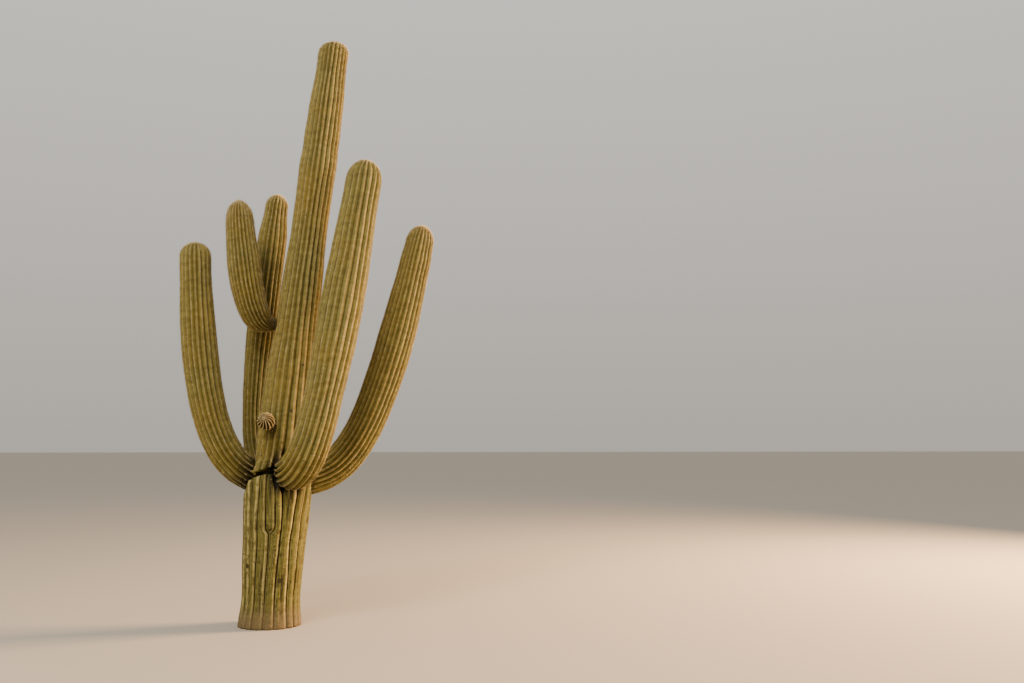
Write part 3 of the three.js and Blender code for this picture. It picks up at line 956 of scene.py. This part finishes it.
def wounds(tree, at):
    """Where the skin is scarred or cracked, or has one of the dark specks of old skin."""
    cells = add_node(tree, "ShaderNodeTexVoronoi", {"Vector": at["place"], "Scale": 1 / SPECK_GAP})
    chosen = add_node(tree, "ShaderNodeMath", {0: cells.node.outputs["Color"], 1: SPECK_CHOICE},
                      operation="GREATER_THAN")
    rarer = add_node(tree, "ShaderNodeMapRange", {
        "Value": at["height"], "From Min": SPECKS_THIN_OUT[0], "From Max": SPECKS_THIN_OUT[1],
        "To Min": 1.0, "To Max": 0.25})
    wound = add_node(tree, "ShaderNodeMapRange", {
        "Value": cells, "From Min": SPECK_SIZE * 0.7, "From Max": SPECK_SIZE * 1.3,
        "To Min": 0.75, "To Max": 0.0})
    for share in (chosen, rarer):
        wound = add_node(tree, "ShaderNodeMath", {0: wound, 1: share}, operation="MULTIPLY")
    scar, crack = (add_node(tree, "ShaderNodeAttribute", attribute_name=name).node.outputs["Fac"]
                   for name in ("scar", "crack"))
    ragged = add_node(tree, "ShaderNodeMath", {0: at["mottle"], 1: 0.3, 2: scar},
                      operation="MULTIPLY_ADD")
    scarred = add_node(tree, "ShaderNodeMapRange", {
        "Value": ragged, "From Min": 0.42, "From Max": 0.72, "To Max": 0.9})
    for other in (scarred, crack):
        wound = add_node(tree, "ShaderNodeMath", {0: wound, 1: other}, operation="MAXIMUM")
    return wound


def corked(tree, at, colour):
    """Near the ground the skin has died back to grey-brown cork, up to a ragged edge."""
    edge = add_node(tree, "ShaderNodeMath", {
        0: at["mottle"], 1: CORK_EDGE, 2: CORK_HEIGHT - CORK_EDGE / 2}, operation="MULTIPLY_ADD")
    below = add_node(tree, "ShaderNodeMath", {0: edge, 1: at["height"]}, operation="SUBTRACT")
    corky = add_node(tree, "ShaderNodeMapRange", {
        "Value": below, "From Min": -0.5 / CORK_FADE, "From Max": 0.5 / CORK_FADE, "To Max": 0.85})
    bark = add_node(tree, "ShaderNodeValToRGB", {0: at["pores"]},
                    stops=[(0.3, "#42351f"), (0.7, "#857250")])
    return add_node(tree, "ShaderNodeMix", {0: corky, UNDER: colour, OVER: bark}, data_type="RGBA")


# %% The skin's material
def waxy_skin(name, flank_to_fold_shade, crest_colour, crest_width, tan_amount, painted_shade_colour, base_ribs_with_painted_light=None):
    """The skin of a limb, for ribs whose colour runs from the ramp's first stop at the top to its last, a
    painted shade, in the fold.

    The wax scatters light: the skin is dull, with a weak and broad shine and no clear reflection.
    """
    material, tree = new_material(name)
    at = skin_patterns(tree)
    colour, felt = rib_colour(tree, at, flank_to_fold_shade, tan_amount), felt_line(tree, at, crest_width)
    if base_ribs_with_painted_light:
        colour, felt_left = base_colour(tree, at, colour, base_ribs_with_painted_light)
        felt = add_node(tree, "ShaderNodeMath", {0: felt, 1: felt_left}, operation="MULTIPLY")
    colour = add_node(tree, "ShaderNodeMix", {0: felt, UNDER: colour, OVER: linear(crest_colour)},
                      data_type="RGBA")
    bands = add_node(tree, "ShaderNodeTexNoise", {
        "Vector": along_ribs(tree, at, 1 / BAND_RIBS, 1 / BAND_GAP), "Scale": 1.0, "Detail": 2.0})
    banded = add_node(tree, "ShaderNodeValToRGB", {0: bands}, stops=[(0.36, "#a8a078"), (0.60, "#ffffff")])
    mottled = add_node(tree, "ShaderNodeValToRGB", {0: at["mottle"]},
                       stops=[(0.34, "#8d8660"), (0.62, "#ffffff")])
    # Near the other limbs the skin is multiplied by the colour given for that: painted shade in the
    # crotches.
    painted_shade = add_node(tree, "ShaderNodeAttribute", attribute_name="painted_shade").node.outputs["Fac"]
    for share, tint in [(0.4, banded), (0.42, mottled), (painted_shade, linear(painted_shade_colour))]:
        colour = add_node(tree, "ShaderNodeMix", {0: share, UNDER: colour, OVER: tint},
                          data_type="RGBA", blend_type="MULTIPLY")
    colour = add_node(tree, "ShaderNodeMix", {
        0: wounds(tree, at), UNDER: colour, OVER: linear(WOUND_COLOUR)}, data_type="RGBA")
    colour = corked(tree, at, colour)

    grain = add_node(tree, "ShaderNodeMath", {0: at["mottle"], 1: 1.6, 2: at["pores"]},
                     operation="MULTIPLY_ADD")
    grain = add_node(tree, "ShaderNodeMath", {0: bands, 1: 1.4, 2: grain}, operation="MULTIPLY_ADD")
    bump = add_node(tree, "ShaderNodeBump", {"Height": grain, "Strength": 0.6, "Distance": 2 * MM})
    dullness = add_node(tree, "ShaderNodeMath", {0: at["mottle"], 1: 0.2, 2: 0.58},
                        operation="MULTIPLY_ADD")
    shader = add_node(tree, "ShaderNodeBsdfPrincipled", {
        "Base Color": colour, "Roughness": dullness, "Normal": bump, "IOR": 1.45,
        "Specular IOR Level": 0.22})
    add_node(tree, "ShaderNodeOutputMaterial", {"Surface": shader})
    return material


# %% [markdown]
# The stem is tanned a little more than the arms, and its base has broad ribs of its own, given as a
# ramp from one cleft to the next, with painted shade in the clefts and a painted highlight on the
# rims. On the young arm the ribs are so close that the pale felt along them covers most of the skin,
# over folds of painted shade, and the painted shade of the crotches is left off it.

# %% The three skins
# Each ramp darkens into the fold as painted shade; the fourth colour is the painted shade where limbs meet.
stem_material = waxy_skin(
    "Waxy skin of the stem",
    [(0.0, "#857b3e"), (0.34, "#7b733a"), (0.43, "#6a6332"), (0.49, "#454022")], "#b3a672", 0.055, 0.4,
    "#3a321f",
    # The base's ramp: painted shade in the clefts (0.0 and 1.0), a painted highlight on the rims (0.07,
    # 0.87).
    base_ribs_with_painted_light=[(0.0, "#15130a"), (0.035, "#35321a"), (0.07, "#91864a"), (0.12, "#757035"),
               (0.50, "#6e692e"), (0.80, "#777135"), (0.87, "#aea168"), (0.93, "#9c8f54"),
               (0.965, "#35321a"), (1.0, "#15130a")])
arm_material = waxy_skin(
    "Waxy skin of the arms",
    [(0.0, "#827a3d"), (0.34, "#797239"), (0.43, "#686231"), (0.49, "#434021")], "#b1a470", 0.055, 0.3,
    "#51492f")
# The young arm's folds darken almost to black as painted shade; white leaves out the crotches' shade.
young_material = waxy_skin(
    "Waxy skin of the young arm",
    [(0.0, "#b39d62"), (0.16, "#a08a4c"), (0.26, "#4a3d1c"), (0.40, "#120e06")], "#e6d3a0", 0.20, 0.1,
    "#ffffff")
for skin in skins:
    material = {stem_skin: stem_material, young_skin: young_material}.get(skin, arm_material)
    skin.data.materials.clear()
    skin.data.materials.append(material)
    {stem_skin: "stem_skin", young_skin: "young_skin"}.get(skin, "arm_skin")
print("skin materials:", stem_material.name, "/", arm_material.name, "/", young_material.name)

# %% [markdown]
# ## Where the areoles sit
# Areoles follow each other along the top of every rib, about 20 mm apart, and closer towards a
# growing tip. For each of them a ray is sent from outside towards the limb's axis: where it meets
# the skin is the areole's place, whatever the dents there. Places that lie inside another limb
# are left out.

# %% How areoles follow each other
AREOLE_GAP = 20 * MM
TIP_REACH, TIP_CLEARANCE = 350 * MM, 6 * MM


def areole_gap(from_tip, gap):
    """The gap between areoles: it narrows towards the tip."""
    return gap * (0.5 + 0.5 * min(1, from_tip / TIP_REACH))


def rib_stops(length, radius, first, gap):
    """Lengths along the axis of a rib's areoles, evenly spaced on the skin."""
    run = np.concatenate([[0], np.cumsum(np.hypot(np.diff(length), np.diff(radius)))])
    stops = [np.interp(first, length, run)]
    while True:
        step = areole_gap(run[-1] - stops[-1], gap)
        if stops[-1] + step > run[-1] - TIP_CLEARANCE:
            break
        stops.append(stops[-1] + step)
    return np.interp(stops, run, length), run[-1] - np.array(stops)


print("areoles at a tip are", round(areole_gap(0, AREOLE_GAP) / MM), "mm apart")

# %% Rays that find an areole's place
RAY_START, RAY_REACH = 80 * MM, 500 * MM
HIDDEN_DEPTH, NEIGHBOUR_REACH = 1 * MM, 350 * MM
shells = {skin.name: shell_of(skin) for skin in skins}


def is_hidden(point, own):
    """True where a point lies inside the skin of another limb."""
    for name, shell in shells.items():
        if name == own:
            continue
        nearest, normal, _, _ = shell.find_nearest(point, NEIGHBOUR_REACH)
        if nearest is not None and (point - nearest).dot(normal) < -HIDDEN_DEPTH:
            return True
    return False


def find_areoles(own, rows):
    """rows are (start outside, aim, up the limb, distance from the tip, size); gives the hits."""
    found = []
    for start, aim, up, from_tip, size in rows:
        hit, normal, _, _ = shells[own].ray_cast(Vector(start), Vector(aim), RAY_REACH)
        if hit is not None and not is_hidden(hit, own):
            found.append((*hit, *normal, *up, from_tip, size))
    return np.array(found)


print("looking for places on", len(shells), "skins")

# %% The stem's areoles
STEM_STEPS, STEM_START = 900, 320 * MM
SHED_SHARE, OLD_SIZE = 0.8, 0.6  # the old base has shed most of its spines
AREOLE_SHIFT = 3  # mm


def stem_rows():
    """Rays towards the stem's ribs."""
    length = np.linspace(0, HEIGHT, STEM_STEPS)
    radius = stem_radius(length)
    stops, from_tip = rib_stops(length, radius, STEM_START, AREOLE_GAP)
    for height, distance in zip(stops, from_tip):
        ring_angles, _, _ = stem_ring(height)
        centre = stem_centre([height])[0]
        for k in range(STEM_RIBS):
            angle = ring_angles[LINES_PER_RIB * k + 1:LINES_PER_RIB * (k + 1)].mean()
            out = np.array([math.cos(angle), math.sin(angle), 0])
            lift = np.array([0, 0, float(stem_lift([height], angle)[0])
                             + chance.uniform(-AREOLE_SHIFT, AREOLE_SHIFT) * MM])
            reach = float(np.interp(height, length, radius)) + RAY_START
            old = height < COLLAR_HEIGHT
            if old and chance.random() < SHED_SHARE:
                continue
            yield centre + lift + out * reach, -out, (0, 0, 1), distance, OLD_SIZE if old else 1


areoles = {"stem": find_areoles(stem_skin.name, stem_rows())}
print("areoles on the stem:", len(areoles["stem"]))


# %% The arms' areoles
def arm_rows(limb, first, gap):
    """Rays towards an arm's ribs."""
    axis, ribs = limb["axis"], limb["ribs"]
    stops, from_tip = rib_stops(axis["length"], limb["radius"], first, gap)
    steps = np.rint(stops / axis["length"][-1] * AXIS_STEPS).astype(int)
    wander = limb["wander"](axis["length"][steps])
    crests = np.arange(ribs) + 0.5 + (wander + np.roll(wander, -1, axis=1)) / 2
    for step, distance, row in zip(steps, from_tip, crests / ribs * FULL_TURN):
        for angle in row:
            out = axis["across"][step] * math.cos(angle) + axis["beside"][step] * math.sin(angle)
            shift = axis["along"][step] * chance.uniform(-AREOLE_SHIFT, AREOLE_SHIFT) * MM
            yield (axis["centre"][step] + shift + out * (limb["radius"][step] + RAY_START), -out,
                   axis["along"][step], distance, 1)


for side, limb in limbs.items():
    areoles[side] = find_areoles(limb["skin"].name, arm_rows(limb, ARM_START, AREOLE_GAP))
print("areoles:", {name: len(rows) for name, rows in areoles.items()})


# %% The young arm's areoles
YOUNG_ROWS, YOUNG_ROWS_TOP = 13, math.pi * 0.95
YOUNG_RAY_START, YOUNG_FROM_TIP, YOUNG_SIZE = 140 * MM, 120 * MM, 0.4


def young_rows():
    """Rays towards the ball's swirling ribs."""
    across, beside = young_across[-1], np.cross(YOUNG_POINT, young_across[-1])
    for latitude in np.linspace(neck_latitude, YOUNG_ROWS_TOP, YOUNG_ROWS):
        turn = np.interp(latitude, latitudes, young_turns[NECK_RINGS:])
        for k in range(YOUNG_RIBS):
            angle = turn + (k + 0.5) / YOUNG_RIBS * FULL_TURN
            out = (across * math.cos(angle) + beside * math.sin(angle)) * math.sin(latitude)
            out = out - YOUNG_POINT * math.cos(latitude)
            up = np.cross(np.cross(out, YOUNG_POINT), out)
            yield YOUNG_CENTRE + out * YOUNG_RAY_START, -out, unit(up), YOUNG_FROM_TIP, YOUNG_SIZE


areoles["young"] = find_areoles(young_skin.name, young_rows())
print("areoles on the young arm:", len(areoles["young"]))

# %% [markdown]
# ## Spines
# A cluster has short spines that lie out flat all round and a few longer ones that stand up from
# the middle. One spine is modelled once, as a three-sided cone, and is then repeated by arithmetic
# on arrays: there are well over a hundred thousand, too many to add one by one. Spines age from
# straw to grey, so each whole cluster takes one of four plain colours, paler towards the tips.

# %% One spine and one cushion of felt
def pointed_shape(sides):
    """The points and faces of a cone of height 1 that stands on the origin."""
    bpy.ops.object.select_all(action="DESELECT")
    bpy.ops.mesh.primitive_cone_add(vertices=sides, radius1=1, radius2=0, depth=1,
                                    end_fill_type="NGON", location=(0, 0, 0.5))
    cone = bpy.context.object
    bpy.ops.object.transform_apply(location=True, rotation=False, scale=False)
    points = numbers(cone.data.vertices, "co", 3)
    faces = [tuple(face.vertices) for face in cone.data.polygons]
    bpy.data.objects.remove(cone)
    return points, faces


SPINE_SHAPE, CUSHION_SHAPE = pointed_shape(3), pointed_shape(6)
print("a spine has", len(SPINE_SHAPE[1]), "faces, a cushion", len(CUSHION_SHAPE[1]))

# %% Colours of the spines
SPINE_ROUGHNESS = 0.6


def dry_material(name, colour):
    """A dry part of a plant, such as a woody spine or matted felt: one plain colour, hardly shiny."""
    material, tree = new_material(name)
    shader = add_node(tree, "ShaderNodeBsdfPrincipled", {
        "Base Color": linear(colour), "Roughness": SPINE_ROUGHNESS, "IOR": 1.5})
    add_node(tree, "ShaderNodeOutputMaterial", {"Surface": shader})
    return material


SPINE_COLOURS = [dry_material(name, colour) for name, colour in [
    ("Pale straw spines", "#dcc996"), ("Straw spines", "#c0a468"),
    ("Weathered grey spines", "#8f8468"), ("Old tan spines", "#7d6236")]]
FELT = dry_material("Grey areole felt", "#9a8b62")
YOUNG_SHARES, OLD_SHARES = np.array([0.5, 0.4, 0.05, 0.05]), np.array([0.15, 0.4, 0.25, 0.2])
WORN_SHARES = np.array([0, 0, 0.4, 0.6])
print("spines in", len(SPINE_COLOURS), "colours")


# %% Repeat a small shape many times
def joined_copies(name, shape, origins, axes, materials, choice):
    """One mesh of many copies. Each copy has an origin, three scaled directions and a material."""
    points, faces = shape
    count, size = len(origins), len(points)
    corners = origins[:, None, :] + sum(points[None, :, i:i + 1] * axis[:, None, :]
                                        for i, axis in enumerate(axes))
    loops = np.concatenate([np.array(face) for face in faces])
    totals = np.array([len(face) for face in faces])
    mesh = bpy.data.meshes.new(name)
    mesh.vertices.add(count * size)
    mesh.vertices.foreach_set("co", corners.ravel())
    mesh.loops.add(count * len(loops))
    mesh.loops.foreach_set("vertex_index",
                           (loops[None, :] + size * np.arange(count)[:, None]).ravel())
    mesh.polygons.add(count * len(faces))
    starts = np.concatenate([[0], np.cumsum(np.tile(totals, count))[:-1]])
    mesh.polygons.foreach_set("loop_start", starts)
    for material in materials:
        mesh.materials.append(material)
    mesh.polygons.foreach_set("material_index", np.repeat(choice, len(faces)))
    mesh.update(calc_edges=True)
    mesh.validate()
    piece = bpy.data.objects.new(name, mesh)
    bpy.context.collection.objects.link(piece)
    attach(piece, "root")
    print(name, "has", len(mesh.polygons), "faces")


# %% How a cluster of spines grows
FLAT_SPINES, STANDING_SPINES = 7, 2
PER_CLUSTER = FLAT_SPINES + STANDING_SPINES
FLAT_LENGTH, STANDING_LENGTH, LENGTH_SPREAD, YOUNG_EXTRA = 11 * MM, 15 * MM, (0.7, 1.25), 0.35
CROSSWISE, LENGTHWISE = 0.6, 1.8  # flat spines are longer along the rib than across it
FLAT_SLOPES, STANDING_SLOPES, YOUNG_SLOPE, TURN_SPREAD = (0.15, 0.6), (0.7, 1.35), 0.45, 0.3
SPINE_THICKNESS, SPINE_SINK, SPINE_OUT = 0.8 * MM, 1 * MM, 3 * MM
ASKEW = 0.01  # gives a spine that stands straight up from the skin a side too
MOST_FACES = 190_000


def areole_frames(rows):
    """The places of areoles, and for each the directions off the skin, up the rib and across."""
    place, normal, up = rows[:, 0:3], rows[:, 3:6], rows[:, 6:9]
    up = unit(up - normal * (up * normal).sum(1)[:, None])
    return place, normal, up, np.cross(normal, up)


def grow_spines(name, rows):
    """One mesh of the spines that grow from areoles."""
    count = len(rows)
    place, normal, up, beside = areole_frames(rows)
    youth, size = np.clip(1 - rows[:, 9:10] / TIP_REACH, 0, 1), rows[:, 10:11]
    around = (np.arange(PER_CLUSTER) / FLAT_SPINES * FULL_TURN
              + chance.uniform(-TURN_SPREAD, TURN_SPREAD, (count, PER_CLUSTER))
              + chance.uniform(0, FULL_TURN, (count, 1)))
    standing = np.arange(PER_CLUSTER) >= FLAT_SPINES
    slope = np.where(standing, chance.uniform(*STANDING_SLOPES, (count, PER_CLUSTER)),
                     chance.uniform(*FLAT_SLOPES, (count, PER_CLUSTER)) + YOUNG_SLOPE * youth)
    stretch = np.where(standing, 1, CROSSWISE + (LENGTHWISE - CROSSWISE) * np.abs(np.sin(around)))
    reach = (np.where(standing, STANDING_LENGTH, FLAT_LENGTH) * size * stretch
             * chance.uniform(*LENGTH_SPREAD, (count, PER_CLUSTER)) * (1 + YOUNG_EXTRA * youth))
    flat = (up[:, None, :] * np.sin(around)[..., None]
            + beside[:, None, :] * np.cos(around)[..., None])
    along = flat * np.cos(slope)[..., None] + normal[:, None, :] * np.sin(slope)[..., None]
    side = unit(np.cross(along, normal[:, None, :] + ASKEW))
    origin = (place - normal * SPINE_SINK)[:, None, :] + flat * SPINE_OUT
    shares = OLD_SHARES + (YOUNG_SHARES - OLD_SHARES) * youth
    shares = np.where(size == OLD_SIZE, WORN_SHARES, shares)
    colour = (chance.random((count, 1)) > np.cumsum(shares, 1)).sum(1).clip(0, len(SPINE_COLOURS) - 1)
    axes = (side * SPINE_THICKNESS, np.cross(along, side) * SPINE_THICKNESS, along * reach[..., None])
    joined_copies(name, SPINE_SHAPE, origin.reshape(-1, 3), [axis.reshape(-1, 3) for axis in axes],
                  SPINE_COLOURS, np.repeat(colour, PER_CLUSTER))


print("each areole has", PER_CLUSTER, "spines")

# %% Grow the spines and lay the felt
CUSHION_WIDTH, CUSHION_HEIGHT, CUSHION_LENGTHENING = 4.5 * MM, 4 * MM, 1.3


def lay_cushions(name, rows):
    """One mesh of the felt cushions under the spines, which are longer along the rib."""
    place, normal, up, beside = areole_frames(rows)
    axes = [-beside * CUSHION_WIDTH, up * CUSHION_WIDTH * CUSHION_LENGTHENING, normal * CUSHION_HEIGHT]
    joined_copies(name, CUSHION_SHAPE, place - normal * SPINE_SINK, axes, [FELT],
                  np.zeros(len(rows), dtype=int))


most = MOST_FACES // (PER_CLUSTER * len(SPINE_SHAPE[1]))
for name, rows in areoles.items():
    for part, start in enumerate(range(0, len(rows), most)):
        grow_spines(f"{name}_spines_{part + 1}", rows[start:start + most])
    lay_cushions(f"{name}_areoles", rows)
